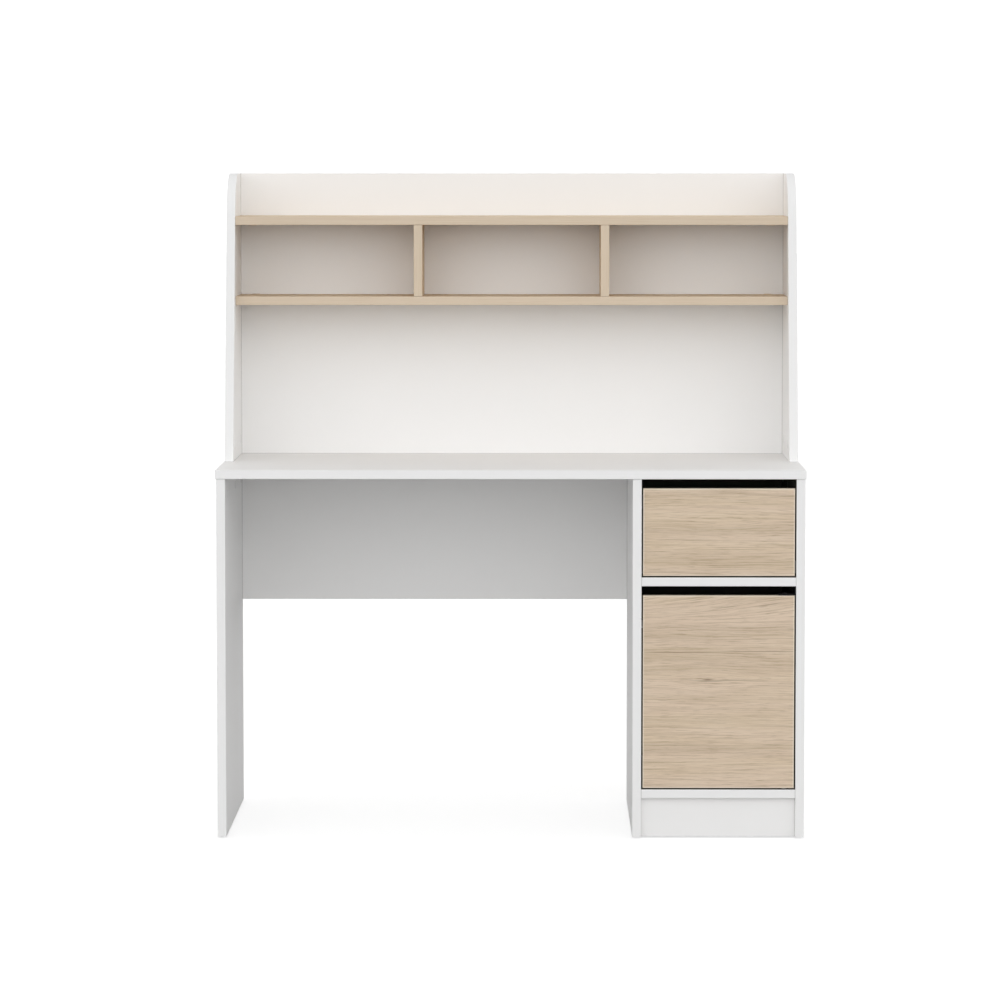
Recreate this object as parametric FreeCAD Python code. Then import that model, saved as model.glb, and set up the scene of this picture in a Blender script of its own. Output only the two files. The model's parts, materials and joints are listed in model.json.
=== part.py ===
import FreeCAD, Part
import math
import os

# A student desk with a hutch, a drawer and a hinged door. Lengths are in millimetres.
# X runs to the right, Y to the back and Z up. The origin is on the floor, under the middle of the desk.

# Overall sizes
desk_width = 1200.0
desk_depth = 550.0
desk_height = 753.0  # with the floor glides
hutch_height = 600.0
board = 18.0  # thickness of every main board
top_overhang = 2.0  # desktop beyond the panels below it, at the front and the sides
edge_radius = 1.0  # rounding of the edge banding
modesty_height = 296.0

# Pedestal
pedestal_width = 350.0
bottom_height = 83.0  # floor to the underside of the pedestal's bottom board
plinth_setback = 11.0
drawer_opening = 200.0  # top of the divider to the underside of the desktop
front_gap = 3.0  # beside and below each front
finger_gap = 19.0  # above each front, where fingers reach in
back_thickness = 3.0
back_inset = 10.0  # behind the pedestal's back panel
groove_depth = 5.0
groove_play = 0.2

# Hutch
hutch_foot_depth = 290.0
hutch_top_depth = 95.0  # flat top of each side
hutch_corner_radius = 105.0
shelf_depth = 180.0
cubby_height = 150.0
tray_height = 90.0  # top of the upper shelf to the top of the hutch
hutch_bays = 3

# Floor glides
glide_height = 3.0
glide_radius = 7.0
glide_inset = 35.0
glide_rounding = 0.8
glide_nail_radius = 1.2
glide_nail_length = 15.0

# Drawer box
drawer_side = 12.0
drawer_height = 120.0
drawer_lift = 14.0  # top of the divider to the lower edge of the drawer's sides
drawer_rear_room = 67.0  # between the drawer and the pedestal's back panel
drawer_back_inset = 5.0
drawer_bottom_thickness = 3.0
drawer_bottom_lift = 12.0
drawer_bottom_tongue = 4.5  # how far the bottom reaches into its grooves

# Drawer runners, one pair on each side of the drawer
runner_room = 12.5  # between the drawer and the pedestal panel
runner_sheet = 1.2
runner_rise = 14.0  # from the drawer's lower edge to the flange that rides on the cabinet roller
runner_flange_room = 0.8  # between the two runners
runner_front_room = 5.0
runner_overhang = 5.0  # cabinet runner behind the drawer
roller_radius = 10.0
roller_side_room = 0.2  # between the screw heads and the axle heads that pass them
web_room = 0.9  # between the axle heads and the drawer runner
roller_rounding = 0.6
roller_play = 0.2  # between a roller and what rides on it
roller_inset = 15.0  # cabinet roller from the front of its runner
drawer_roller_inset = 12.0  # drawer roller from the rear of its runner
open_roller_spacing = 88.0  # between the rollers when the drawer is right out
axle_radius = 2.5
axle_collar_radius = 3.5
axle_head_radius = 4.5
axle_head = 0.7
axle_play = 0.1  # beside each roller
stop_height = 5.0

# Door pivots, catch and strike
pivot_inset = 20.0  # from the hinge edge of the door
pin_radius = 3.0
pin_length = 12.0
pin_head_radius = 5.0
pin_head = 2.0
bush_radius = 5.0
bush_length = 14.0
bracket_sheet = 2.0
bracket_width = 26.0
bracket_length = 60.0
bracket_front_room = 1.0
bracket_cam_room = 3.2  # from the rear of the bracket to the cam bolt behind it
washer_radius = 6.0
top_bracket_room = 1.0  # between the door and the top bracket
catch_drop = 60.0  # from the top of the door to the middle of the catch
catch_width = 16.0
catch_length = 42.0
catch_height = 16.0
catch_rounding = 1.5
catch_gap = 0.2  # between magnet and strike
magnet_margin = 3.0
magnet_length = 10.0
strike_thickness = 1.0
strike_margin = 2.0
strike_length = 34.0
strike_height = 20.0

# Cam fittings and dowels
cam_radius = 7.5
cam_distance = 34.0  # from the joint to the middle of the cam
cam_below_bolt = 4.0
cam_cross_width = 1.6
cam_cross_length = 9.0
cam_cross_depth = 1.5
cover_radius = 8.5
cover_thickness = 1.2
cover_rounding = 0.5
bolt_radius = 2.6
bolt_hole_room = 0.4  # round the bolt's head
bolt_neck_radius = 1.8
bolt_neck_length = 4.0
bolt_head_radius = 3.1
bolt_head_length = 3.0
thread_radius = 3.0
thread_skin = 7.0  # board left beyond a cam bolt's thread
dowel_radius = 4.0
dowel_in_edge = 23.0
dowel_skin = 6.0  # board left beyond a dowel
drawer_cam_distance = 24.0
drawer_dowel_radius = 3.0

# Screws
screw_radius = 1.6
screw_head_radius = 3.0
screw_head = 1.4
screw_slot = 0.8
runner_screw_length = 12.0
edge_screw_length = 9.0  # up into the lower edge of a drawer side
bracket_screw_length = 14.0
drawer_screw_length = 36.0
catch_screw_grip = 10.0  # in the panel behind the catch
screw_slot_depth_share = 0.5
screw_slot_length_share = 0.6
screw_tip_share = 0.2

# Clearances and tool allowances
fit_clearance = 0.05  # round a fastener in its hole, on the radius
running_clearance = 0.05  # round a pin that turns
overrun = 2.0  # how far a cutting tool runs past a face
same_plane = 0.001

# Where fittings sit, as shares of the depth, height or length of the board that carries them
panel_front_cam_share = 0.11
panel_rear_cam_share = 0.89
panel_dowel_shares = (0.2, 0.45)
inner_panel_dowel_shares = (0.2, 0.8)
link_shares = (0.2, 0.8)
hutch_foot_dowel_share = 0.5
modesty_cam_shares = (0.2, 0.8)
modesty_dowel_share = 0.5
modesty_top_dowel_shares = (0.15, 0.85)
cross_board_rear_cam_share = 0.85
cross_board_dowel_shares = (0.3, 0.65)
plinth_cam_share = 0.35
plinth_dowel_share = 0.75
hutch_back_cam_shares = (0.12, 0.5, 0.88)
hutch_back_dowel_shares = (0.3, 0.7)
hutch_back_foot_dowel_shares = (0.2, 0.5, 0.8)
shelf_cam_shares = (0.13, 0.8)
shelf_dowel_share = 0.45
shelf_back_dowel_shares = (0.17, 0.5, 0.83)
divider_dowel_shares = (0.25, 0.75)
drawer_cam_share = 0.75
drawer_dowel_share = 0.35
drawer_back_screw_shares = (0.25, 0.75)
drawer_bottom_screw_shares = (0.2, 0.5, 0.8)
cabinet_screw_shares = (0.12, 0.5, 0.88)
drawer_runner_screw_shares = (0.15, 0.5, 0.8)
bracket_screw_shares = (0.65, 0.88)
catch_screw_shares = (0.42, 0.85)
strike_screw_share = 0.8

# Places that follow from the sizes
V = FreeCAD.Vector
RIGHT, BACKWARD, UP = V(1, 0, 0), V(0, 1, 0), V(0, 0, 1)
front, back = -desk_depth / 2, desk_depth / 2
panel_front = front + top_overhang
panel_outer = desk_width / 2 - top_overhang
panel_inner = panel_outer - board
top_under = desk_height - board
panel_depth = back - panel_front
fronts_rear = panel_front + board

pedestal_left = panel_outer - pedestal_width
bay_left, bay_right = pedestal_left + board, panel_inner
bottom_top = bottom_height + board
divider_top = top_under - drawer_opening
divider_under = divider_top - board
back_front = back - back_inset - back_thickness
bay_depth = back_front - panel_front
modesty_under = top_under - modesty_height

hutch_top = desk_height + hutch_height
hutch_back_front = back - board
shelf_front = hutch_back_front - shelf_depth
upper_shelf_under = hutch_top - tray_height - board
lower_shelf_under = upper_shelf_under - cubby_height - board
cubby_width = (2 * panel_inner - (hutch_bays - 1) * board) / hutch_bays

front_left, front_right = bay_left + front_gap, bay_right - front_gap
drawer_front_low, drawer_front_high = divider_top + front_gap, top_under - finger_gap
door_low, door_high = bottom_top + front_gap, divider_under - finger_gap
drawer_low = divider_top + drawer_lift
drawer_rear = back_front - drawer_rear_room
drawer_length = drawer_rear - fronts_rear
drawer_outer_left, drawer_outer_right = bay_left + runner_room, bay_right - runner_room
drawer_inner_left, drawer_inner_right = drawer_outer_left + drawer_side, drawer_outer_right - drawer_side
drawer_bottom_low = drawer_low + drawer_bottom_lift
drawer_bottom_high = drawer_bottom_low + drawer_bottom_thickness
drawer_back_rear = drawer_rear - drawer_back_inset

roller_start = runner_sheet + screw_head + roller_side_room + axle_head + axle_play
roller_end = runner_room - runner_sheet - web_room - axle_head - axle_play
runner_reach = runner_room - runner_sheet - runner_flange_room
ride_height = drawer_low + runner_rise  # underside of the drawer runner's riding flange
cabinet_roller_height = ride_height - roller_play - roller_radius
drawer_roller_height = cabinet_roller_height - roller_play / 2
track_height = drawer_roller_height - roller_radius - roller_play  # where the drawer rollers run
cabinet_runner_front = fronts_rear + runner_front_room
cabinet_runner_rear = drawer_rear + runner_overhang
cabinet_roller_place = cabinet_runner_front + roller_inset
drawer_roller_place = drawer_rear - drawer_roller_inset

pivot_x, pivot_y = front_right - pivot_inset, panel_front + board / 2
bracket_front = panel_front + bracket_front_room
bracket_rear = bracket_front + bracket_length
bolt_hole_radius = bolt_head_radius + bolt_hole_room
thread_length = board - thread_skin
dowel_in_face = board - dowel_skin

parts = {}  # finished shapes by node
cuts = {}  # what is taken out of each node
groups = {}  # like pieces that share a node


def box(x_low, x_high, y_low, y_high, z_low, z_high):
    return Part.makeBox(x_high - x_low, y_high - y_low, z_high - z_low, V(x_low, y_low, z_low))


def rod(radius, start, toward, length):
    return Part.makeCylinder(radius, length, start, toward)


def cut_from(node, tool):
    cuts.setdefault(node, []).append(tool)


def add_to(group, piece):
    groups.setdefault(group, []).append(piece)


def slab(middle, along, across, through, length, width, depth):
    """A block whose mouth is centred on `middle` and which goes `depth` deep along `through`."""
    half_along, half_across = along * (length / 2), across * (width / 2)
    corners = [
        middle - half_along - half_across,
        middle + half_along - half_across,
        middle + half_along + half_across,
        middle - half_along + half_across,
    ]
    return Part.Face(Part.makePolygon(corners + corners[:1])).extrude(through * depth)


def lies_on(edge, blank, face):
    span, whole = edge.BoundBox, blank.BoundBox
    distance = {
        "left": span.XMax - whole.XMin,
        "right": whole.XMax - span.XMin,
        "front": span.YMax - whole.YMin,
        "rear": whole.YMax - span.YMin,
        "bottom": span.ZMax - whole.ZMin,
        "top": whole.ZMax - span.ZMin,
    }
    return distance[face] < same_plane


def rounded(blank, *corners):
    """Rounds the edges named by the two faces that meet there, such as front-top."""
    pairs = [corner.split("-") for corner in corners]
    edges = [e for e in blank.Edges if any(all(lies_on(e, blank, face) for face in pair) for pair in pairs)]
    return blank.makeFillet(edge_radius, edges)


def dowel(edge_node, face_node, point, toward, radius=dowel_radius, group="wood_dowels"):
    """A dowel across the joint at `point`, from the edge of one board into the face of another."""
    start, length = point - toward * dowel_in_edge, dowel_in_edge + dowel_in_face
    add_to(group, rod(radius, start, toward, length))
    hole = rod(radius + fit_clearance, start, toward, length)
    cut_from(edge_node, hole)
    cut_from(face_node, hole)


def cam(
    edge_node, point, toward, face, cover=None,
    thickness=board, distance=cam_distance, group="cam_locks",
):
    """A cam lock sunk into a board from the side that `face` looks to, with the hole for its bolt."""
    centre = point - toward * distance
    mouth, depth = centre + face * (thickness / 2), thickness / 2 + cam_below_bolt
    across = toward.cross(face)
    lock = rod(cam_radius, mouth, -face, depth)
    channel_length = bolt_head_length + cam_radius + overrun
    lock = lock.cut(rod(bolt_hole_radius, centre - toward * bolt_head_length, toward, channel_length))
    for arm, side in ((toward, across), (across, toward)):
        lock = lock.cut(slab(mouth, arm, side, -face, cam_cross_length, cam_cross_width, cam_cross_depth))
    add_to(group, lock)
    cut_from(edge_node, rod(cam_radius + fit_clearance, mouth + face * overrun, -face, depth + overrun))
    cut_from(edge_node, rod(bolt_hole_radius, point, -toward, distance))
    if cover:
        cap = rod(cover_radius, mouth, face, cover_thickness)
        rim = [e for e in cap.Edges if abs((e.CenterOfMass - mouth).dot(face) - cover_thickness) < same_plane]
        stub = rod(cam_cross_width / 2 - fit_clearance, mouth, -face, cam_cross_depth)
        add_to(cover, cap.makeFillet(cover_rounding, rim).fuse(stub))


def bolt_stem(point, toward, distance):
    """The end of a cam bolt that reaches from the joint at `point` back into its cam."""
    head_start = distance - bolt_head_length / 2
    neck_start = head_start - bolt_neck_length
    stem = rod(bolt_radius, point, -toward, neck_start)
    stem = stem.fuse(rod(bolt_neck_radius, point - toward * neck_start, -toward, bolt_neck_length))
    return stem.fuse(rod(bolt_head_radius, point - toward * head_start, -toward, bolt_head_length))


def cam_bolt(face_node, point, toward, distance=cam_distance, group="cam_bolts"):
    thread = rod(thread_radius, point, toward, thread_length)
    add_to(group, thread.fuse(bolt_stem(point, toward, distance)))
    cut_from(face_node, rod(thread_radius + fit_clearance, point, toward, thread_length))


def cam_joint(edge_node, face_node, point, toward, face, cover=None):
    cam(edge_node, point, toward, face, cover)
    cam_bolt(face_node, point, toward)


def screw(group, nodes, seat, toward, length):
    """A pan-head screw whose head sits on `seat`, driven along `toward` through the named nodes."""
    tip = length * screw_tip_share
    plain = length - tip
    head = rod(screw_head_radius, seat, -toward, screw_head)
    along = toward.cross(RIGHT + BACKWARD + UP).normalize()
    across = toward.cross(along)
    slot_mouth = seat - toward * screw_head
    slot_length = 2 * screw_head_radius * screw_slot_length_share
    slot_depth = screw_head * screw_slot_depth_share
    for arm, side in ((along, across), (across, along)):
        head = head.cut(slab(slot_mouth, arm, side, toward, slot_length, screw_slot, slot_depth))
    shank = rod(screw_radius, seat, toward, plain)
    point = Part.makeCone(screw_radius, screw_radius * screw_tip_share, tip, seat + toward * plain, toward)
    add_to(group, head.fuse(shank).fuse(point))
    for node in nodes:
        cut_from(node, rod(screw_radius + fit_clearance, seat, toward, length))


def make_desk_boards():
    parts["desktop"] = rounded(
        box(-desk_width / 2, desk_width / 2, front, back, top_under, desk_height),
        "front-top", "front-bottom", "left-top", "left-bottom", "right-top", "right-bottom",
        "front-left", "front-right",
    )
    standing = {
        "left_end_panel": -panel_outer,
        "pedestal_inner_panel": pedestal_left,
        "pedestal_outer_panel": panel_inner,
    }
    for node, left in standing.items():
        blank = box(left, left + board, panel_front, back, glide_height, top_under)
        parts[node] = rounded(blank, "front-left", "front-right")
    parts["modesty_panel"] = rounded(
        box(-panel_inner, pedestal_left, back - board, back, modesty_under, top_under),
        "front-bottom", "rear-bottom",
    )


def make_pedestal_boards():
    for node, low in (("pedestal_bottom", bottom_height), ("pedestal_divider", divider_under)):
        blank = box(bay_left, bay_right, panel_front, back_front, low, low + board)
        parts[node] = rounded(blank, "front-top", "front-bottom")
    plinth_front = panel_front + plinth_setback
    plinth_rear = plinth_front + board
    parts["plinth"] = box(bay_left, bay_right, plinth_front, plinth_rear, glide_height, bottom_height)
    tongue, back_rear = groove_depth - groove_play, back_front + back_thickness
    parts["pedestal_back"] = box(
        bay_left - tongue, bay_right + tongue, back_front, back_rear, bottom_height, top_under
    )
    groove_front, groove_rear = back_front - groove_play, back_rear + groove_play
    groove_top = top_under + overrun
    for node, inner, outer in (
        ("pedestal_inner_panel", bay_left - groove_depth, bay_left + overrun),
        ("pedestal_outer_panel", bay_right - overrun, bay_right + groove_depth),
    ):
        cut_from(node, box(inner, outer, groove_front, groove_rear, bottom_height, groove_top))


def make_glides():
    for node, left in (
        ("left_end_panel", -panel_outer),
        ("pedestal_inner_panel", pedestal_left),
        ("pedestal_outer_panel", panel_inner),
    ):
        for y in (panel_front + glide_inset, back - glide_inset):
            foot = V(left + board / 2, y, 0)
            disc = rod(glide_radius, foot, UP, glide_height)
            rim = [e for e in disc.Edges if lies_on(e, disc, "bottom")]
            nail_start = foot + UP * glide_height
            nail = rod(glide_nail_radius, nail_start, UP, glide_nail_length)
            add_to("floor_glides", disc.makeFillet(glide_rounding, rim).fuse(nail))
            cut_from(node, rod(glide_nail_radius + fit_clearance, nail_start, UP, glide_nail_length))


def hutch_side(left):
    """A side whose slanted front edge runs tangent into the rounded top corner."""
    foot_y = back - hutch_foot_depth
    centre_y, centre_z = back - hutch_top_depth, hutch_top - hutch_corner_radius
    reach_y, reach_z = foot_y - centre_y, desk_height - centre_z
    turn = math.acos(hutch_corner_radius / math.hypot(reach_y, reach_z))
    tangent_angle = math.atan2(reach_z, reach_y) - turn
    middle_angle = (tangent_angle + math.pi / 2 - 2 * math.pi) / 2

    def on_corner(angle):
        y = centre_y + hutch_corner_radius * math.cos(angle)
        return V(left, y, centre_z + hutch_corner_radius * math.sin(angle))

    foot_rear, foot_front = V(left, back, desk_height), V(left, foot_y, desk_height)
    crown_front, crown_rear = V(left, centre_y, hutch_top), V(left, back, hutch_top)
    outline = Part.Wire([
        Part.makeLine(foot_rear, foot_front),
        Part.makeLine(foot_front, on_corner(tangent_angle)),
        Part.Arc(on_corner(tangent_angle), on_corner(middle_angle), crown_front).toShape(),
        Part.makeLine(crown_front, crown_rear),
        Part.makeLine(crown_rear, foot_rear),
    ])
    blank = Part.Face(outline).extrude(RIGHT * board)
    outlines = [e for e in blank.Edges if e.BoundBox.XLength < same_plane]
    banded = [e for e in outlines if not lies_on(e, blank, "bottom") and not lies_on(e, blank, "rear")]
    return blank.makeFillet(edge_radius, banded)


def divider_places():
    """Left faces of the dividers that part the cubbies."""
    pitch = cubby_width + board
    return [-panel_inner + pitch * number - board for number in range(1, hutch_bays)]


def make_hutch_boards():
    parts["hutch_left_side"] = hutch_side(-panel_outer)
    parts["hutch_right_side"] = hutch_side(panel_inner)
    parts["hutch_back"] = rounded(
        box(-panel_inner, panel_inner, hutch_back_front, back, desk_height, hutch_top),
        "front-top", "rear-top",
    )
    for node, low in (("hutch_upper_shelf", upper_shelf_under), ("hutch_lower_shelf", lower_shelf_under)):
        blank = box(-panel_inner, panel_inner, shelf_front, hutch_back_front, low, low + board)
        parts[node] = rounded(blank, "front-top", "front-bottom")
    for number, left in enumerate(divider_places()):
        blank = box(
            left, left + board, shelf_front, hutch_back_front, lower_shelf_under + board, upper_shelf_under
        )
        parts[f"hutch_divider_{number + 1}"] = rounded(blank, "front-left", "front-right")


def join_desk_boards():
    """Cams, bolts and dowels of the desk. Link bolts pass through the desktop into the hutch sides."""
    for sign, panel, side, panel_cover in (
        (-1, "left_end_panel", "hutch_left_side", "cam_covers_white"),
        (1, "pedestal_outer_panel", "hutch_right_side", None),
    ):
        middle, inward = sign * (panel_outer - board / 2), RIGHT * -sign
        for share in link_shares:
            y = back - hutch_foot_depth * share
            below, above = V(middle, y, top_under), V(middle, y, desk_height)
            cam(panel, below, UP, inward, panel_cover)
            cam(side, above, -UP, inward, "cam_covers_white")
            link = bolt_stem(below, UP, cam_distance).fuse(rod(bolt_radius, below, UP, board))
            add_to("link_bolts", link.fuse(bolt_stem(above, -UP, cam_distance)))
            through = board + 2 * overrun
            cut_from("desktop", rod(bolt_radius + fit_clearance, below - UP * overrun, UP, through))
        front_cam = V(middle, panel_front + panel_depth * panel_front_cam_share, top_under)
        cam_joint(panel, "desktop", front_cam, UP, inward, panel_cover)
        for share in panel_dowel_shares:
            dowel(panel, "desktop", V(middle, panel_front + panel_depth * share, top_under), UP)
        foot_dowel = back - hutch_foot_depth * hutch_foot_dowel_share
        dowel(side, "desktop", V(middle, foot_dowel, desk_height), -UP)

    inner_middle = pedestal_left + board / 2
    for share in (panel_front_cam_share, panel_rear_cam_share):
        point = V(inner_middle, panel_front + panel_depth * share, top_under)
        cam_joint("pedestal_inner_panel", "desktop", point, UP, RIGHT)
    for share in inner_panel_dowel_shares:
        point = V(inner_middle, panel_front + panel_depth * share, top_under)
        dowel("pedestal_inner_panel", "desktop", point, UP)

    modesty_middle = back - board / 2
    for end, panel, toward in (
        (-panel_inner, "left_end_panel", -RIGHT),
        (pedestal_left, "pedestal_inner_panel", RIGHT),
    ):
        for share in modesty_cam_shares:
            point = V(end, modesty_middle, modesty_under + modesty_height * share)
            cam_joint("modesty_panel", panel, point, toward, BACKWARD)
        dowel_height = modesty_under + modesty_height * modesty_dowel_share
        dowel("modesty_panel", panel, V(end, modesty_middle, dowel_height), toward)
    for share in modesty_top_dowel_shares:
        x = -panel_inner + (pedestal_left + panel_inner) * share
        dowel("modesty_panel", "desktop", V(x, modesty_middle, top_under), UP)


def join_pedestal_boards():
    for end, panel, toward in (
        (bay_left, "pedestal_inner_panel", -RIGHT),
        (bay_right, "pedestal_outer_panel", RIGHT),
    ):
        for node, low in (("pedestal_bottom", bottom_height), ("pedestal_divider", divider_under)):
            rear_cam = panel_front + bay_depth * cross_board_rear_cam_share
            for y in (bracket_rear + bracket_cam_room, rear_cam):
                cam_joint(node, panel, V(end, y, low + board / 2), toward, -UP)
            for share in cross_board_dowel_shares:
                dowel(node, panel, V(end, panel_front + bay_depth * share, low + board / 2), toward)
        plinth_middle = panel_front + plinth_setback + board / 2
        plinth_height = bottom_height - glide_height
        cam_point = V(end, plinth_middle, glide_height + plinth_height * plinth_cam_share)
        cam_joint("plinth", panel, cam_point, toward, BACKWARD)
        dowel_point = V(end, plinth_middle, glide_height + plinth_height * plinth_dowel_share)
        dowel("plinth", panel, dowel_point, toward)


def join_hutch_boards():
    back_middle = back - board / 2
    shelves = (("hutch_upper_shelf", upper_shelf_under, -UP), ("hutch_lower_shelf", lower_shelf_under, UP))
    for sign, side in ((-1, "hutch_left_side"), (1, "hutch_right_side")):
        end, toward = sign * panel_inner, RIGHT * sign
        for share in hutch_back_cam_shares:
            point = V(end, back_middle, desk_height + hutch_height * share)
            cam_joint("hutch_back", side, point, toward, BACKWARD)
        for share in hutch_back_dowel_shares:
            dowel("hutch_back", side, V(end, back_middle, desk_height + hutch_height * share), toward)
        for shelf, low, face in shelves:
            for share in shelf_cam_shares:
                point = V(end, hutch_back_front - shelf_depth * share, low + board / 2)
                cam_joint(shelf, side, point, toward, face, "cam_covers_oak")
            dowel_point = V(end, hutch_back_front - shelf_depth * shelf_dowel_share, low + board / 2)
            dowel(shelf, side, dowel_point, toward)
    for share in hutch_back_foot_dowel_shares:
        dowel("hutch_back", "desktop", V(panel_inner * (2 * share - 1), back_middle, desk_height), -UP)
    for shelf, low, face in shelves:
        for share in shelf_back_dowel_shares:
            point = V(panel_inner * (2 * share - 1), hutch_back_front, low + board / 2)
            dowel(shelf, "hutch_back", point, BACKWARD)
    for number, left in enumerate(divider_places()):
        node = f"hutch_divider_{number + 1}"
        for share in divider_dowel_shares:
            y = hutch_back_front - shelf_depth * share
            dowel(node, "hutch_upper_shelf", V(left + board / 2, y, upper_shelf_under), UP)
            dowel(node, "hutch_lower_shelf", V(left + board / 2, y, lower_shelf_under + board), -UP)


def make_drawer_box():
    parts["drawer_front"] = rounded(
        box(front_left, front_right, panel_front, fronts_rear, drawer_front_low, drawer_front_high),
        "front-top", "front-bottom", "front-left", "front-right", "rear-top",
    )
    drawer_high = drawer_low + drawer_height
    for node, left, cam_face in (
        ("drawer_left_side", drawer_outer_left, RIGHT),
        ("drawer_right_side", drawer_inner_right, -RIGHT),
    ):
        blank = box(left, left + drawer_side, fronts_rear, drawer_rear, drawer_low, drawer_high)
        parts[node] = rounded(blank, "left-top", "right-top")
        middle = left + drawer_side / 2
        cam_point = V(middle, fronts_rear, drawer_low + drawer_height * drawer_cam_share)
        cam(node, cam_point, -BACKWARD, cam_face, None, drawer_side, drawer_cam_distance, "drawer_cams")
        cam_bolt("drawer_front", cam_point, -BACKWARD, drawer_cam_distance, "drawer_cam_bolts")
        dowel_point = V(middle, fronts_rear, drawer_low + drawer_height * drawer_dowel_share)
        dowel(node, "drawer_front", dowel_point, -BACKWARD, drawer_dowel_radius, "drawer_dowels")
    back_front_face = drawer_back_rear - drawer_side
    blank = box(
        drawer_inner_left, drawer_inner_right, back_front_face, drawer_back_rear,
        drawer_bottom_high, drawer_high,
    )
    parts["drawer_back"] = rounded(blank, "front-top", "rear-top")
    parts["drawer_bottom"] = box(
        drawer_inner_left - drawer_bottom_tongue, drawer_inner_right + drawer_bottom_tongue,
        fronts_rear - drawer_bottom_tongue, drawer_back_rear, drawer_bottom_low, drawer_bottom_high,
    )
    groove = drawer_bottom_tongue + groove_play
    groove_room = box(
        drawer_inner_left - groove, drawer_inner_right + groove,
        fronts_rear - groove, drawer_rear + overrun, drawer_bottom_low, drawer_bottom_high + groove_play,
    )
    for node in ("drawer_front", "drawer_left_side", "drawer_right_side"):
        cut_from(node, groove_room)

    back_height = drawer_high - drawer_bottom_high
    back_middle = drawer_back_rear - drawer_side / 2
    for node, outer, toward in (
        ("drawer_left_side", drawer_outer_left, RIGHT),
        ("drawer_right_side", drawer_outer_right, -RIGHT),
    ):
        for share in drawer_back_screw_shares:
            seat = V(outer, back_middle, drawer_bottom_high + back_height * share)
            screw("drawer_screws", (node, "drawer_back"), seat, toward, drawer_screw_length)
    for share in drawer_bottom_screw_shares:
        x = drawer_inner_left + (drawer_inner_right - drawer_inner_left) * share
        seat = V(x, back_middle, drawer_bottom_low)
        screw("drawer_screws", ("drawer_bottom", "drawer_back"), seat, UP, bracket_screw_length)


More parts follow.
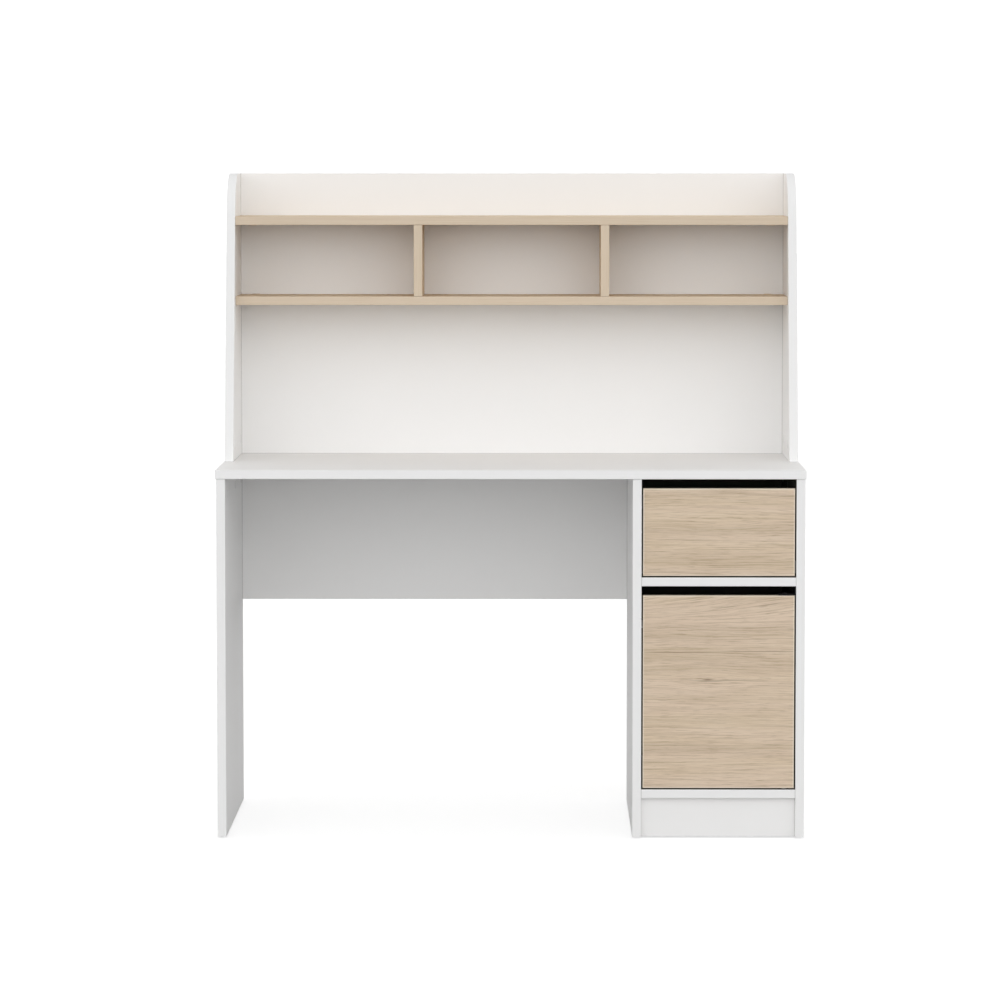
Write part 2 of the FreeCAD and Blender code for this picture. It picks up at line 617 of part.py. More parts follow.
def make_runners(side):
    """The pair of runners on one side. Distances across are counted from the pedestal panel to the drawer."""
    wall, toward = (bay_left, RIGHT) if side == "left" else (bay_right, -RIGHT)

    def block(across_low, across_high, y_low, y_high, z_low, z_high):
        ends = sorted((wall + toward.x * across_low, wall + toward.x * across_high))
        return box(ends[0], ends[1], y_low, y_high, z_low, z_high)

    def axle_bar(radius, start, end, y, z):
        return rod(radius, V(wall + toward.x * start, y, z), toward, end - start)

    track_low = track_height - runner_sheet
    cap_low = ride_height + runner_sheet + runner_flange_room
    cap_high = cap_low + runner_sheet
    span = (cabinet_runner_front, cabinet_runner_rear)
    cabinet = block(0, runner_sheet, *span, track_low, cap_high)
    cabinet = cabinet.fuse(block(0, runner_reach, *span, track_low, track_height))
    cabinet = cabinet.fuse(block(0, runner_reach, *span, cap_low, cap_high))
    # The drawer roller meets a low tab when the drawer is right out, and a high one when it is shut.
    tab_reach = math.sqrt(roller_radius ** 2 - (roller_radius + roller_play - stop_height) ** 2)
    open_rear = cabinet_roller_place + open_roller_spacing - tab_reach - roller_play
    shut_front = drawer_roller_place + roller_radius + roller_play
    cabinet = cabinet.fuse(
        block(
            roller_start, roller_end, open_rear - runner_sheet, open_rear,
            track_low, track_height + stop_height,
        )
    )
    cabinet = cabinet.fuse(
        block(
            roller_start, roller_end, shut_front, shut_front + runner_sheet,
            track_low, drawer_roller_height,
        )
    )
    parts[f"cabinet_{side}_runner"] = cabinet.removeSplitter()

    web_start = runner_room - runner_sheet
    drawer_span = (fronts_rear, drawer_rear)
    sole_low, rider_high = drawer_low - runner_sheet, ride_height + runner_sheet
    drawer = block(web_start, runner_room, *drawer_span, sole_low, rider_high)
    drawer = drawer.fuse(block(web_start, runner_room + drawer_side, *drawer_span, sole_low, drawer_low))
    drawer = drawer.fuse(block(roller_start, runner_room, *drawer_span, ride_height, rider_high))
    parts[f"drawer_{side}_runner"] = drawer.removeSplitter()

    collar_end, head_start = roller_start - axle_play, roller_end + axle_play
    rollers = (
        (f"cabinet_{side}_roller", cabinet_roller_place, cabinet_roller_height),
        (f"drawer_{side}_roller", drawer_roller_place, drawer_roller_height),
    )
    for node, y, z in rollers:
        wheel = axle_bar(roller_radius, roller_start, roller_end, y, z)
        rims = [e for e in wheel.Edges if e.BoundBox.XLength < same_plane]
        bore = axle_bar(axle_radius + running_clearance, roller_start, roller_end, y, z)
        parts[node] = wheel.makeFillet(roller_rounding, rims).cut(bore)

    y, z = cabinet_roller_place, cabinet_roller_height
    axle = axle_bar(axle_radius, 0, head_start, y, z)
    axle = axle.fuse(axle_bar(axle_collar_radius, runner_sheet, collar_end, y, z))
    axle = axle.fuse(axle_bar(axle_head_radius, head_start, head_start + axle_head, y, z))
    add_to("cabinet_roller_axles", axle)
    cut_from(f"cabinet_{side}_runner", axle_bar(axle_radius + fit_clearance, 0, runner_sheet, y, z))

    y, z = drawer_roller_place, drawer_roller_height
    axle = axle_bar(axle_radius, collar_end, runner_room, y, z)
    axle = axle.fuse(axle_bar(axle_collar_radius, head_start, web_start, y, z))
    axle = axle.fuse(axle_bar(axle_head_radius, collar_end - axle_head, collar_end, y, z))
    add_to("drawer_roller_axles", axle)
    cut_from(f"drawer_{side}_runner", axle_bar(axle_radius + fit_clearance, web_start, runner_room, y, z))

    panel = "pedestal_inner_panel" if side == "left" else "pedestal_outer_panel"
    for share in cabinet_screw_shares:
        y = cabinet_runner_front + (cabinet_runner_rear - cabinet_runner_front) * share
        seat = V(wall + toward.x * runner_sheet, y, (track_low + cap_high) / 2)
        screw("cabinet_runner_screws", (f"cabinet_{side}_runner", panel), seat, -toward, runner_screw_length)
    side_middle = wall + toward.x * (runner_room + drawer_side / 2)
    for share in drawer_runner_screw_shares:
        seat = V(side_middle, fronts_rear + drawer_length * share, drawer_low - runner_sheet)
        nodes = (f"drawer_{side}_runner", f"drawer_{side}_side")
        screw("drawer_runner_screws", nodes, seat, UP, edge_screw_length)


def make_door():
    parts["door"] = rounded(
        box(front_left, front_right, panel_front, fronts_rear, door_low, door_high),
        "front-top", "front-bottom", "front-left", "front-right", "rear-top",
    )
    for end, inward in ((door_low, UP), (door_high, -UP)):
        mouth = V(pivot_x, pivot_y, end)
        bush = rod(bush_radius, mouth, inward, bush_length)
        add_to("door_bushes", bush.cut(rod(pin_radius + running_clearance, mouth, inward, pin_length)))
        cut_from("door", rod(bush_radius + fit_clearance, mouth, inward, bush_length))


def make_door_pivots():
    """A plate with a pin carries the door, and a drop-in pin through a bracket holds its top."""
    plate_left, plate_right = pivot_x - bracket_width / 2, pivot_x + bracket_width / 2
    plate_high = bottom_top + bracket_sheet
    plate = box(plate_left, plate_right, bracket_front, bracket_rear, bottom_top, plate_high)
    pin_top = door_low + pin_length - pin_radius
    pin = rod(pin_radius, V(pivot_x, pivot_y, bottom_top), UP, pin_top - bottom_top)
    parts["door_bottom_bracket"] = plate.fuse(pin).removeSplitter()
    washer_place = V(pivot_x, pivot_y, plate_high)
    washer = rod(washer_radius, washer_place, UP, door_low - plate_high)
    bore = rod(pin_radius + running_clearance, washer_place, UP, door_low - plate_high)
    parts["door_washer"] = washer.cut(bore)
    for share in bracket_screw_shares:
        seat = V(pivot_x, bracket_front + bracket_length * share, plate_high)
        nodes = ("door_bottom_bracket", "pedestal_bottom")
        screw("door_bracket_screws", nodes, seat, -UP, bracket_screw_length)

    arm_low = door_high + top_bracket_room
    arm_high = arm_low + bracket_sheet
    flange_high = divider_under - top_bracket_room
    arm_rear = fronts_rear + bracket_width / 2
    arm = box(plate_left, bay_right, bracket_front, arm_rear, arm_low, arm_high)
    flange = box(bay_right - bracket_sheet, bay_right, bracket_front, bracket_rear, arm_low, flange_high)
    pin_hole = rod(pin_radius + fit_clearance, V(pivot_x, pivot_y, arm_low), UP, bracket_sheet)
    parts["door_top_bracket"] = arm.fuse(flange).removeSplitter().cut(pin_hole)
    top_pin_low = door_high - pin_length + pin_radius
    top_pin = rod(pin_radius, V(pivot_x, pivot_y, top_pin_low), UP, arm_high - top_pin_low)
    head = rod(pin_head_radius, V(pivot_x, pivot_y, arm_high), UP, pin_head)
    parts["door_top_pin"] = top_pin.fuse(head)
    for share in bracket_screw_shares:
        height = (arm_high + flange_high) / 2
        seat = V(bay_right - bracket_sheet, bracket_front + bracket_length * share, height)
        nodes = ("door_top_bracket", "pedestal_outer_panel")
        screw("door_bracket_screws", nodes, seat, RIGHT, bracket_screw_length)


def make_catch():
    """A magnet in a plastic body on the pedestal panel, and a steel strike on the back of the door."""
    middle = door_high - catch_drop
    strike_rear = fronts_rear + strike_thickness
    catch_front = strike_rear + catch_gap
    catch_right = bay_left + catch_width
    low, high = middle - catch_height / 2, middle + catch_height / 2
    body = box(bay_left, catch_right, catch_front, catch_front + catch_length, low, high)
    outer_edges = [e for e in body.Edges if lies_on(e, body, "right") and not lies_on(e, body, "front")]
    body = body.makeFillet(catch_rounding, outer_edges)
    magnet = box(
        bay_left + magnet_margin, catch_right - magnet_margin, catch_front, catch_front + magnet_length,
        low + magnet_margin, high - magnet_margin,
    )
    parts["catch_body"] = body.cut(magnet)
    parts["catch_magnet"] = magnet
    for share in catch_screw_shares:
        seat = V(catch_right, catch_front + catch_length * share, middle)
        nodes = ("catch_body", "pedestal_inner_panel")
        screw("catch_screws", nodes, seat, -RIGHT, catch_width + catch_screw_grip)

    strike_left = front_left + strike_margin
    strike_low, strike_high = middle - strike_height / 2, middle + strike_height / 2
    parts["strike_plate"] = box(
        strike_left, strike_left + strike_length, fronts_rear, strike_rear, strike_low, strike_high
    )
    seat = V(strike_left + strike_length * strike_screw_share, strike_rear, middle)
    screw("strike_screw", ("strike_plate", "door"), seat, -BACKWARD, runner_screw_length)


make_desk_boards()
make_pedestal_boards()
make_glides()
make_hutch_boards()
join_desk_boards()
join_pedestal_boards()
join_hutch_boards()
make_drawer_box()
make_runners("left")
make_runners("right")
make_door()
make_door_pivots()
make_catch()

for node, tools in cuts.items():
    parts[node] = parts[node].cut(tools)
for node, pieces in groups.items():
    parts[node] = Part.makeCompound(pieces)

os.makedirs("parts", exist_ok=True)
for node, shape in sorted(parts.items()):
    shape.exportStep(f"parts/{node}.step")
    print(node, len(shape.Solids), "valid" if shape.isValid() else "INVALID", round(shape.Volume))
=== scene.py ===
# %% [markdown]
# A student desk with a hutch, in white melamine and pale oak. The boards, fittings and joints are solids
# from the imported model, and they already have the right shapes and places. So this lesson is about
# surfaces, light and the camera: it loads the model as a fixed frame and gives every piece the finish of
# the real one.

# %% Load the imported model
import json
import math
import bpy
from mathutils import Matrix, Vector


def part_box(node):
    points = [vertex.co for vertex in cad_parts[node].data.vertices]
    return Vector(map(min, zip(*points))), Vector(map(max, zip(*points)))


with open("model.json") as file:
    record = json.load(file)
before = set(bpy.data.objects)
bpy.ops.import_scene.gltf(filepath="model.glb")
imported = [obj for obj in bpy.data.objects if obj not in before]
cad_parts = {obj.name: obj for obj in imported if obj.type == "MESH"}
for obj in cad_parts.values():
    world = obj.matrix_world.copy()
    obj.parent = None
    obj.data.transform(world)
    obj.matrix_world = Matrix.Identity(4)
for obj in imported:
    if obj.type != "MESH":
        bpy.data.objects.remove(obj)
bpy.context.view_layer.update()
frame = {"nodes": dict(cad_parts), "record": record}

nodes = frame["nodes"]
slot_of = {part["node"]: part["material_slot"] for part in frame["record"]["subparts"]}

# %% [markdown]
# Every finish below is a small network of shader nodes. Networks are easier to read as sums than as
# wiring, so one class wraps an output socket: an operator on it adds a Math node, and `node` adds any
# other kind. The alternative, naming and linking each node by hand, would take ten lines for each line
# here.

# %% Write shader networks as expressions
class Wire:
    """An output socket of a material's network."""

    def __init__(self, socket):
        self.socket = socket

    def node(self, kind, settings, values, output=0):
        """Adds a node: its settings are set first, then its inputs get their values or links."""
        tree = self.socket.id_data
        made = tree.nodes.new("ShaderNode" + kind)
        for name, value in settings.items():
            setattr(made, name, value)
        for name, value in values.items():
            entry = next(s for s in made.inputs if s.identifier == name)
            if isinstance(value, Wire):
                tree.links.new(value.socket, entry)
            else:
                entry.default_value = value
        return Wire(made.outputs[output])

    def maths(self, operation, first, second=0.0):
        return self.node("Math", {"operation": operation}, {"Value": first, "Value_001": second})

    def __add__(self, other):
        return self.maths("ADD", self, other)

    def __radd__(self, other):
        return self.maths("ADD", other, self)

    def __sub__(self, other):
        return self.maths("SUBTRACT", self, other)

    def __rsub__(self, other):
        return self.maths("SUBTRACT", other, self)

    def __mul__(self, other):
        return self.maths("MULTIPLY", self, other)

    def __rmul__(self, other):
        return self.maths("MULTIPLY", other, self)

    def __truediv__(self, other):
        return self.maths("DIVIDE", self, other)

    def __rtruediv__(self, other):
        return self.maths("DIVIDE", other, self)

    def __abs__(self):
        return self.maths("ABSOLUTE", self)


print("operators ready")

# %% [markdown]
# Each finish starts in the same way: a Principled shader, and the place on the piece in metres. A piece
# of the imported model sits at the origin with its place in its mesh, so Object coordinates are the desk's
# own frame. A pattern tied to them keeps its real scale, and it stays on the drawer and the door when
# they move.

# %% Start a finish
def new_finish(name, **constants):
    """A material, its shader, and the place on the piece. Constants go straight on the shader's sockets."""
    finish = bpy.data.materials.new(name)
    finish.use_nodes = True
    tree = finish.node_tree
    shader = tree.nodes["Principled BSDF"]
    for socket, value in constants.items():
        shader.inputs[socket.replace("_", " ").title().replace("Ior", "IOR")].default_value = value
    place = Wire(tree.nodes.new("ShaderNodeTexCoord").outputs["Object"])
    return finish, shader, place


def feed(shader, **wires):
    for socket, wire in wires.items():
        entry = shader.inputs[socket.replace("_", " ").title()]
        shader.id_data.links.new(wire.socket, entry)


def noise(place, scale, detail=2.0, stretch=(1.0, 1.0, 1.0), shift=(0.0, 0.0, 0.0)):
    """Smooth noise from 0 to 1: `scale` lumps to a metre, pressed together by `stretch` on each axis."""
    moved = place.node("Mapping", {}, {"Vector": place, "Scale": stretch, "Location": shift})
    return moved.node("TexNoise", {}, {"Vector": moved, "Scale": scale, "Detail": detail})


def step(value, start, end):
    """0 before `start`, 1 after `end`, and a smooth slope between them."""
    settings = {"interpolation_type": "SMOOTHSTEP"}
    return value.node("MapRange", settings, {"Value": value, "From Min": start, "From Max": end})


def blend(factor, first, second):
    colours = {"A_Color": first if isinstance(first, Wire) else (*first, 1.0)}
    colours["B_Color"] = second if isinstance(second, Wire) else (*second, 1.0)
    return factor.node("Mix", {"data_type": "RGBA"}, {"Factor_Float": factor, **colours}, 2)


def dents(height, depth):
    """A normal that shows `height` as relief `depth` metres deep."""
    return height.node("Bump", {}, {"Height": height, "Distance": depth, "Strength": 1.0})


def dress(node, finish):
    nodes[node].data.materials.clear()
    nodes[node].data.materials.append(finish)


print("helpers ready")

# %% [markdown]
# The white boards are chipboard with a melamine skin: satin, very slightly warm, with a fine pearl
# texture from the press. Visible edges carry a plastic band under 1 mm thick, a touch glossier than the
# face, and where band and face meet there is a hairline. A bevelled mesh with a second material could
# show the band too, but masks on the distance from the edge keep the board one clean solid.

# %% Find the banded edges and the inside of the pedestal
band_thickness, hairline = 0.0009, 0.00012
# Where the painted shade inside the pedestal stops short of the front, the bottom and the back, in metres.
bay_shade_start, bay_shade_foot, bay_shade_end = 0.0013, 0.0005, 0.0002
bay_low = Vector((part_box("pedestal_inner_panel")[1].x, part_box("pedestal_divider")[0].y + bay_shade_start,
                  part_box("pedestal_bottom")[0].z + bay_shade_foot))
bay_high = Vector((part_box("pedestal_outer_panel")[0].x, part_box("pedestal_back")[0].y + bay_shade_end,
                   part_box("desktop")[0].z))


def axes(place):
    split = place.node("SeparateXYZ", {}, {"Vector": place})
    return [Wire(socket) for socket in split.socket.node.outputs]


def edge_distance(place, node, edges):
    """Distance in metres from the nearest of the named edges of a board, such as front or left."""
    low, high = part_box(node)
    sides = {"left": (0, low.x), "right": (0, high.x), "front": (1, low.y), "back": (1, high.y),
             "bottom": (2, low.z), "top": (2, high.z)}
    spread = axes(place)
    nearest = None
    for edge in edges:
        axis, at = sides[edge]
        distance = abs(spread[axis] - at)
        nearest = distance if nearest is None else place.maths("MINIMUM", nearest, distance)
    return nearest


def on_rim(place, node):
    """1 on the narrow edges of a board, slanted and rounded ones too, and 0 on its two broad faces."""
    low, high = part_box(node)
    thin = min(range(3), key=lambda axis: high[axis] - low[axis])
    facing = Wire(place.socket.node.outputs["Normal"])
    return 1.0 - step(abs(axes(facing)[thin]), 0.5, 0.8)


def inside_bay(place):
    """1 on the faces inside the pedestal, where the painted shade goes, 0 elsewhere."""
    slack = 0.0003
    mask = None
    for wire, low, high in zip(axes(place), bay_low, bay_high):
        above = place.maths("GREATER_THAN", wire, low - slack)
        inside = above * place.maths("LESS_THAN", wire, high + slack)
        mask = inside if mask is None else mask * inside
    return mask


print("pedestal bay", [round(v, 3) for v in bay_high - bay_low])

# %% [markdown]
# The gaps round the drawer and the door read as black lines, and no white board shows through them. So
# the inside of the pedestal is painted charcoal: painted shade for the dark gaps. The painted shade is a
# mask inside the white finish, because the same panel is white on one face and charcoal on the other.
# The bands bent round the hutch's sides are painted a trace greyer than the straight ones: painted shade on
# their rounded rims.

# %% Finish the white boards
# The band is real plastic, and its white is painted a touch darker than the face: painted shade on the
# edges.
white_face, shaded_band_white, bay_shade_charcoal = (0.9, 0.896, 0.89), (0.865, 0.865, 0.863), (0.085, 0.078, 0.066)
joint_shade_grey, line_grey = (0.2, 0.19, 0.18), (0.42, 0.4, 0.38)
joint_shade_width, joint_shade_fade = 0.0005, 0.001
cloud_share, bay_shade_share, rim_shade_share = 0.965, 1.7, 0.96
pearl_depth = 0.00003


def joint_shade(place, node, joined):
    """1 on a thin line along the edges where a board butts against its neighbour, for painted shade in the
    hairline gap.
    """
    return 1.0 - step(edge_distance(place, node, joined), joint_shade_width, joint_shade_fade)


def white_board(node, banded, joined, band_white):
    finish, shader, place = new_finish("white_melamine_" + node, specular_ior_level=0.3)
    distance = edge_distance(place, node, banded)
    bay_shade = inside_bay(place)
    cloud = noise(place, 6.0, 3.0)
    pearl = noise(place, 1500.0, 1.0)
    rim = on_rim(place, node)
    past = step(distance, band_thickness - hairline, band_thickness)
    band = place.maths("MAXIMUM", 1.0 - past, rim)
    before = 1.0 - step(distance, band_thickness + hairline, band_thickness + 2 * hairline)
    line = past * before * (1.0 - rim)
    face = blend(cloud * 0.6 + pearl * 0.2, white_face, [v * cloud_share for v in white_face])
    white = blend(line * 0.45, blend(band, face, band_white), line_grey)
    # A thin dark line where the board butts against its neighbour: painted shade of the hairline gap
    # between them.
    if joined:
        white = blend(joint_shade(place, node, joined) * 0.5, white, joint_shade_grey)
    # Inside the pedestal the faces are painted charcoal: painted shade for the dark gaps round the drawer
    # and the door.
    bay_shade_colour = blend(pearl, bay_shade_charcoal, [v * bay_shade_share for v in bay_shade_charcoal])
    relief = pearl * (1.0 - 0.7 * band) - line
    feed(shader, base_color=blend(bay_shade, white, bay_shade_colour),
         roughness=0.42 + 0.1 * cloud + 0.06 * pearl - 0.06 * band + 0.1 * bay_shade,
         normal=dents(relief, pearl_depth))
    dress(node, finish)


board_edges = {
    "desktop": (("front", "left", "right"), ()),
    "left_end_panel": (("front",), ("top",)),
    "modesty_panel": (("bottom",), ("left", "right", "top")),
    "pedestal_inner_panel": (("front",), ("top",)),
    "pedestal_outer_panel": (("front",), ("top",)),
    "pedestal_divider": (("front",), ("left", "right")),
    "pedestal_bottom": (("front",), ("left", "right")),
    "plinth": (("bottom",), ("left", "right", "top")),
    "hutch_left_side": (("top",), ("bottom",)),
    "hutch_right_side": (("top",), ("bottom",)),
    "hutch_back": (("top",), ("left", "right", "bottom")),
}
# The bands bent round the hutch's sides are painted greyer still: painted shade on their rounded rims.
shaded_rim_band = [v * rim_shade_share for v in shaded_band_white]
for node, (banded, joined) in board_edges.items():
    bent_round = node in ("hutch_left_side", "hutch_right_side")
    white_board(node, banded, joined, shaded_rim_band if bent_round else shaded_band_white)
print("white boards", len(board_edges))

# %% [markdown]
# The oak is a printed decor on the same board: pale beige with broad bands that lean to gold or to pink,
# fine darker and paler lines along the grain, short pores, and a few small knots that the lines flow
# round. A wave texture would give even stripes, so noise is stretched along the grain at five sizes
# instead, and each knot pushes the lines aside before the noise is read.

# %% Bend the grain round the knots
def grain_place(place, along, knots, climb):
    """The place on a board with the grain turned to X, and the lines pushed aside round each knot.

    Above the height `climb` starts at, the lines climb to the right, as on a board sawn off centre."""
    x, y, z = axes(place)
    length, across, depth = (x, z, y) if along == "X" else (z, x, y)
    shade = None
    if climb:
        pivot, start, end, slope = climb
        across = across - step(across, start, end) * (length - pivot) * slope
    for at_length, at_across, reach, width, dark in knots:
        run = (length - at_length) / reach
        rise = (across - at_across) / width
        fall = place.maths("EXPONENT", 0.0 - run * run - 0.35 * rise * rise)
        across = across - fall * rise * (width * 0.6)
        core = place.maths("EXPONENT", 0.0 - 40.0 * run * run - 60.0 * rise * rise) * dark
        shade = core if shade is None else place.maths("MAXIMUM", shade, core)
    turned = length.node("CombineXYZ", {}, {"X": length, "Y": across, "Z": depth})
    return turned, shade


print("grain follows X or Z")

# %% [markdown]
# A crack in the print is a thin dark line that runs with the grain for a hand's breadth and fades at
# both ends. It could be drawn as a curve object, but it has no thickness on the real board, so it is a
# mask in the finish.

# %% Draw a crack
def crack(grain, at_length, at_across, half_length, width, dark):
    """A thin line along the grain that wanders a little and fades at its ends."""
    length, across = axes(grain)[:2]
    wander = noise(grain, 1.0, 3.0, (14.0, 0.0, 0.0), (at_length * 90.0, at_across * 70.0, 0.0)) - 0.5
    thin = 1.0 - step(abs(across - at_across + wander * 0.004), width * 0.3, width)
    return thin * (1.0 - step(abs(length - at_length), half_length * 0.3, half_length)) * dark


print("cracks run with the grain")

# %% [markdown]
# All oak boards share one recipe and differ in where the noise is read and in their tone. A thin plastic
# band, paler than the face, closes the edges. On the drawer and the door it is painted paler still, as a
# painted highlight on their rounded edges, so it shows as a bright line round them. On shelves and dividers
# it is only at the front.
# Separate strips of mesh could show it too, but a mask keeps each board one solid.

# %% Finish the oak boards
oak_pink, oak_gold, oak_pale = (0.66, 0.53, 0.405), (0.625, 0.502, 0.362), (0.65, 0.545, 0.425)
oak_light = (0.71, 0.6, 0.475)
oak_streak, oak_dark = (0.4, 0.3, 0.2), (0.16, 0.105, 0.06)
# The shelves and dividers are the same oak as the fronts, toned darker and warmer: painted shade, and
# painted warm bounce light for the cubbies.
front_tone, shelf_shade_tone = (1.07, 1.07, 1.075), (1.04, 0.975, 0.86)
flush_width, flush_fade, pore_depth = 0.002, 0.0026, 0.00006
grain_lumps = {"sway": (2.6, 7.0, 7.0), "tint": (1.2, 34.0, 34.0), "bands": (1.2, 27.0, 27.0),
               "lines": (9.0, 560.0, 560.0), "threads": (30.0, 800.0, 800.0),
               "pores": (70.0, 2300.0, 2300.0)}
# The fronts' trim is paler than oak_pale: the real band, plus a painted highlight on the rounded edges of
# the drawer and the door.
front_trim_and_highlight = (0.8, 0.71, 0.585)


def toned(colour, tone):
    return [value * share for value, share in zip(colour, tone)]


def oak_board(node, along, tone, trim, banded, shift, joined=(), knots=(), cracks=(), climb=None):
    finish, shader, place = new_finish("pale_oak_" + node, specular_ior_level=0.25)
    grain, marks = grain_place(place, along, knots, climb)
    length, across, depth = axes(grain)
    sway = noise(grain, 1.0, 2.0, grain_lumps["sway"], shift) - 0.5
    bent = length.node("CombineXYZ", {}, {"X": length, "Y": across + sway * 0.016, "Z": depth})
    tint = step(noise(bent, 1.0, 2.0, grain_lumps["tint"], shift), 0.36, 0.64)
    bands = step(noise(bent, 1.0, 3.0, grain_lumps["bands"], shift), 0.42, 0.74)
    lines = noise(bent, 1.0, 4.0, grain_lumps["lines"], shift)
    threads = step(noise(bent, 1.0, 3.0, grain_lumps["threads"], shift), 0.53, 0.66)
    pores = step(noise(bent, 1.0, 2.0, grain_lumps["pores"], shift), 0.56, 0.72)
    dark_lines = step(lines, 0.5, 0.7)
    colour = blend(tint, toned(oak_pink, tone), toned(oak_gold, tone))
    colour = blend(step(1.0 - lines, 0.48, 0.68) * 0.55, colour, toned(oak_light, tone))
    colour = blend(bands * 0.3 + dark_lines * 0.44 + threads * 0.42 + pores * 0.12, colour, oak_streak)
    for line in cracks:
        marks = place.maths("MAXIMUM", marks, crack(grain, *line))
    if marks is not None:
        colour = blend(marks, colour, oak_dark)
    flush = 1.0 - step(edge_distance(place, node, banded), flush_width, flush_fade)
    band = place.maths("MAXIMUM", flush, on_rim(place, node))
    colour = blend(band * 0.85, colour, blend(dark_lines * 0.7, trim, oak_gold))
    # A thin dark line where the board butts against its neighbour: painted shade of the hairline gap
    # between them.
    if joined:
        colour = blend(joint_shade(place, node, joined) * 0.5, colour, oak_dark)
    feed(shader, base_color=colour, roughness=0.46 + 0.1 * lines + 0.06 * pores,
         normal=dents(0.0 - pores * 0.6 - dark_lines * 0.4, pore_depth))
    dress(node, finish)


front_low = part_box("drawer_front")[0]
door_low, door_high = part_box("door")
door_knots = [(door_low.x + 0.132, door_high.z - 0.172, 0.07, 0.013, 0.85)]
door_cracks = [(door_low.x + 0.080, door_high.z - 0.116, 0.11, 0.0014, 0.42),
               (door_low.x + 0.240, door_high.z - 0.114, 0.1, 0.0014, 0.48),
               (door_low.x + 0.165, door_high.z - 0.173, 0.1, 0.0014, 0.36),
               (door_low.x + 0.265, door_high.z - 0.305, 0.028, 0.0014, 0.4),
               (door_low.x + 0.060, door_high.z - 0.306, 0.09, 0.0012, 0.28),
               (door_low.x + 0.170, door_high.z - 0.024, 0.03, 0.0016, 0.3),
               (door_low.x + 0.255, door_high.z - 0.030, 0.035, 0.0016, 0.3)]
door_climb = (door_low.x + 0.16, door_high.z - 0.06, door_high.z - 0.01, 0.13)
drawer_knots = [(front_low.x + 0.16, front_low.z + 0.118, 0.09, 0.012, 0.08)]
round_front, fore = ("left", "right", "bottom", "top"), ("front",)
oak_board("door", "X", front_tone, front_trim_and_highlight, round_front, (3.1, 0.7, 0.2), (),
          door_knots, door_cracks, door_climb)
oak_board("drawer_front", "X", front_tone, front_trim_and_highlight, round_front, (8.4, 2.3, 0.2), (), drawer_knots)
oak_board("hutch_upper_shelf", "X", shelf_shade_tone, oak_pale, fore, (1.3, 5.1, 0.4), ("left", "right"))
oak_board("hutch_lower_shelf", "X", shelf_shade_tone, oak_pale, fore, (6.2, 9.7, 0.8), ("left", "right"))
oak_board("hutch_divider_1", "Z", shelf_shade_tone, oak_pale, fore, (4.4, 1.9, 0.1), ("bottom", "top"))
oak_board("hutch_divider_2", "Z", shelf_shade_tone, oak_pale, fore, (2.7, 7.5, 0.6), ("bottom", "top"))
print("oak boards 6")

# %% [markdown]
# Hardboard is pressed wood fibre, 3 mm thick: brown and slightly woolly on its raw side, lacquered on
# the other. The pedestal's back turns its lacquered side inwards, and that side is painted charcoal as
# painted shade inside the pedestal. The drawer's bottom is lacquered white on top. The raw fibre is noise
# at two sizes, because a photo texture isn't wanted here.

# %% Finish the hardboard and the drawer box
def hardboard(node, axis, lacquer_and_shade):
    finish, shader, place = new_finish("hardboard_" + node, specular_ior_level=0.3)
    low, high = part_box(node)
    middle = (low[axis] + high[axis]) / 2
    spread = axes(place)[axis]
    coated = place.maths("LESS_THAN" if axis == 1 else "GREATER_THAN", spread, middle)
    fibre = noise(place, 420.0, 4.0)
    wool = noise(place, 60.0, 3.0)
    raw = blend(step(fibre, 0.3, 0.7), (0.2, 0.115, 0.062), (0.34, 0.21, 0.12))
    raw = blend(wool * 0.5, raw, (0.27, 0.165, 0.095))
    smooth = blend(fibre * 0.3, lacquer_and_shade, [v * 0.85 for v in lacquer_and_shade])
    feed(shader, base_color=blend(coated, raw, smooth), roughness=0.75 - 0.3 * coated + 0.1 * fibre,
         normal=dents(fibre * (1.0 - 0.85 * coated), 0.0002))
    dress(node, finish)


def foil_board(node):
    finish, shader, place = new_finish("white_foil_" + node, specular_ior_level=0.4)
    weave = noise(place, 800.0, 2.0, (0.12, 0.12, 1.0))
    cloud = noise(place, 9.0, 3.0)
    feed(shader, base_color=blend(weave * 0.5 + cloud * 0.3, (0.8, 0.795, 0.785), (0.74, 0.735, 0.72)),
         roughness=0.4 + 0.15 * cloud, normal=dents(weave, 0.00003))
    dress(node, finish)


# The inner face of the pedestal's back is painted charcoal: painted shade inside the pedestal.
hardboard("pedestal_back", 1, bay_shade_charcoal)
hardboard("drawer_bottom", 2, (0.78, 0.775, 0.76))
for node in ("drawer_left_side", "drawer_right_side", "drawer_back"):
    foil_board(node)
print("hardboard 2, foil boards 3")

# %% [markdown]
# The fittings are metal. The runners are powder-coated white, with a fine orange-peel surface. Screws,
# axles and bolts are zinc-plated, bright with cloudy patches. Cams are die-cast and duller, with a
# pitted skin, and the door brackets are coated black. One function makes all four, since only colours
# and sizes differ.

# %% Finish the metal fittings
def metal(slot, light, dark, metallic, rough, lumps, depth, shine=0.5):
    finish, shader, place = new_finish(slot, metallic=metallic, specular_ior_level=shine)
    cloud = noise(place, 140.0, 3.0)
    skin = noise(place, lumps, 2.0)
    feed(shader, base_color=blend(step(cloud, 0.3, 0.7), light, dark),
         roughness=rough + 0.18 * (cloud - 0.5) + 0.08 * skin, normal=dents(skin, depth))
    return finish


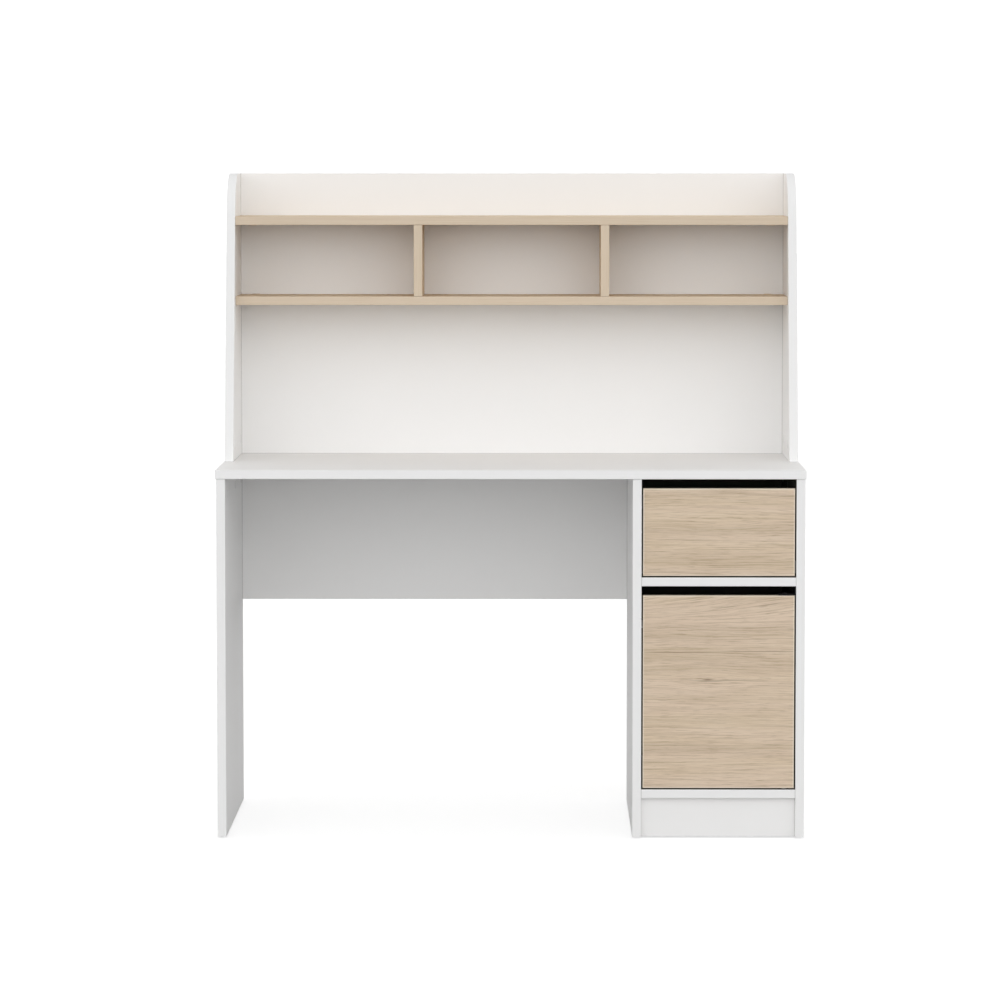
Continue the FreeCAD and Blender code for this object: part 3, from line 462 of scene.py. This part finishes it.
slot_finish = {
    "runner_steel": metal("runner_steel", (0.8, 0.8, 0.785), (0.76, 0.76, 0.745), 0.0, 0.38, 1100.0,
                          0.00004),
    "bright_steel": metal("bright_steel", (0.7, 0.71, 0.73), (0.58, 0.6, 0.63), 1.0, 0.28, 1800.0, 0.00001),
    "cam_zinc": metal("cam_zinc", (0.55, 0.56, 0.58), (0.43, 0.44, 0.46), 1.0, 0.42, 1300.0, 0.00003),
    "black_steel": metal("black_steel", (0.012, 0.012, 0.013), (0.008, 0.008, 0.009), 0.0, 0.6, 1500.0,
                         0.00003, 0.2),
}
print("metals", sorted(slot_finish))

# %% [markdown]
# The small mouldings are plastic: milky nylon rollers, caps over the cams, grey glides. A moulding has a
# faint grain from its steel tool and slow changes of gloss where it cooled. Dowels are beech with fine
# rays, and the magnet in the catch is dark ferrite with a sandy skin.

# %% Finish the mouldings, the dowels and the magnet
def moulding(slot, light, dark, rough, lumps, depth, stretch=(1.0, 1.0, 1.0)):
    finish, shader, place = new_finish(slot, specular_ior_level=0.45)
    cloud = noise(place, 55.0, 2.0, stretch)
    skin = noise(place, lumps, 3.0, stretch)
    feed(shader, base_color=blend(cloud * 0.5 + step(skin, 0.35, 0.65) * 0.5, light, dark),
         roughness=rough + 0.12 * (cloud - 0.5) + 0.06 * skin, normal=dents(skin, depth))
    return finish


slot_finish.update({
    "nylon": moulding("nylon", (0.78, 0.77, 0.73), (0.73, 0.715, 0.67), 0.38, 900.0, 0.00002),
    "white_plastic": moulding("white_plastic", (0.82, 0.82, 0.81), (0.79, 0.79, 0.78), 0.36, 1600.0,
                              0.00002),
    "oak_plastic": moulding("oak_plastic", (0.64, 0.49, 0.34), (0.57, 0.43, 0.29), 0.48, 700.0, 0.00003,
                            (0.1, 1.0, 1.0)),
    "glide_plastic": moulding("glide_plastic", (0.3, 0.3, 0.3), (0.25, 0.25, 0.25), 0.5, 1500.0, 0.00003),
    "beech": moulding("beech", (0.55, 0.36, 0.19), (0.46, 0.28, 0.14), 0.6, 1200.0, 0.00008,
                      (0.15, 1.0, 0.4)),
    "magnet": moulding("magnet", (0.03, 0.03, 0.033), (0.014, 0.014, 0.016), 0.6, 2200.0, 0.00005),
})
for node, slot in slot_of.items():
    if slot in slot_finish:
        dress(node, slot_finish[slot])
bare = [node for node in nodes if not nodes[node].data.materials[0].name.startswith(
    ("white_", "pale_oak_", "hardboard_", *slot_finish))]
print("finishes by slot", len(slot_finish), "nodes left bare", bare)

# %% [markdown]
# The desk stands on white paper. Real white paper would throw so much light back up that the knee space
# would lose its shade. So this paper is grey to the light and white to the eye: it glows only for rays
# that come straight from the camera. The other way, a darker floor that is painted white afterwards,
# needs a second program.

# %% Lay the floor
floor_mesh = bpy.data.meshes.new("studio_floor")
reach = 60.0
corners = [(-reach, -reach, 0), (reach, -reach, 0), (reach, reach, 0), (-reach, reach, 0)]
floor_mesh.from_pydata(corners, [], [(0, 1, 2, 3)])
floor = bpy.data.objects.new("studio_floor", floor_mesh)
bpy.context.scene.collection.objects.link(floor)
paper, paper_shader, paper_place = new_finish("studio_paper", specular_ior_level=0.0, roughness=0.9,
                                              emission_strength=1.0)
seen = Wire(paper.node_tree.nodes.new("ShaderNodeLightPath").outputs["Is Camera Ray"])
feed(paper_shader, base_color=blend(noise(paper_place, 2.0), (0.45, 0.45, 0.45), (0.44, 0.44, 0.44)),
     emission_color=blend(seen, (0.0, 0.0, 0.0), (0.68, 0.68, 0.68)))
floor_mesh.materials.append(paper)
print("floor reaches", reach, "metres")

# %% [markdown]
# The light is that of a room with white walls and large soft boxes at the front: bright near the
# horizon, brightest before the desk, and dimmer overhead. Shadows are soft and gather only under the
# shelves and in the knee space. Separate lamps could do it too, but each would add an edge to the
# shadows, and a graded sky adds none.

# %% Light the room
room = bpy.data.worlds.new("white_room")
room.use_nodes = True
backdrop = room.node_tree.nodes["Background"]
direction = Wire(room.node_tree.nodes.new("ShaderNodeTexCoord").outputs["Generated"])
back, up = axes(direction)[1:]
front = direction.maths("MAXIMUM", 0.0 - back, 0.0)
overhead, level, ahead = 0.61, 0.57, 1.13
strength = overhead + (1.0 - up) * (level + ahead * front)
room.node_tree.links.new(strength.socket, backdrop.inputs["Strength"])
backdrop.inputs["Color"].default_value = (1.0, 1.0, 1.0, 1.0)
bpy.context.scene.world = room
bpy.context.scene.view_settings.view_transform = "Standard"
print("sky from", overhead, "overhead to", round(overhead + level + ahead, 2), "in front")

# %% [markdown]
# The camera stands a little right of the middle, about nine metres in front, at the height of the
# hutch's top, and looks slightly down. A long lens keeps the upright lines nearly parallel. A shifted
# lens would make them exactly so, but the shift would stay on in every other view and push the desk out
# of the picture.

# %% Set up the camera
camera = bpy.data.objects.new("camera", bpy.data.cameras.new("camera"))
bpy.context.scene.collection.objects.link(camera)
camera.location = (0.044, -9.259, 1.370)
pitch, yaw = math.radians(-4.3104), math.radians(-0.4181)
sight = Vector((math.sin(yaw) * math.cos(pitch), math.cos(yaw) * math.cos(pitch), math.sin(pitch)))
camera.rotation_mode = "QUATERNION"
camera.rotation_quaternion = sight.to_track_quat("-Z", "Y")
camera.data.sensor_width = 36.0
focal_pixels, picture_pixels = 4441.4, 1000
camera.data.lens = focal_pixels * camera.data.sensor_width / picture_pixels
camera.data.clip_end = 200.0
bpy.context.scene.camera = camera
print("lens in millimetres", round(camera.data.lens, 1))
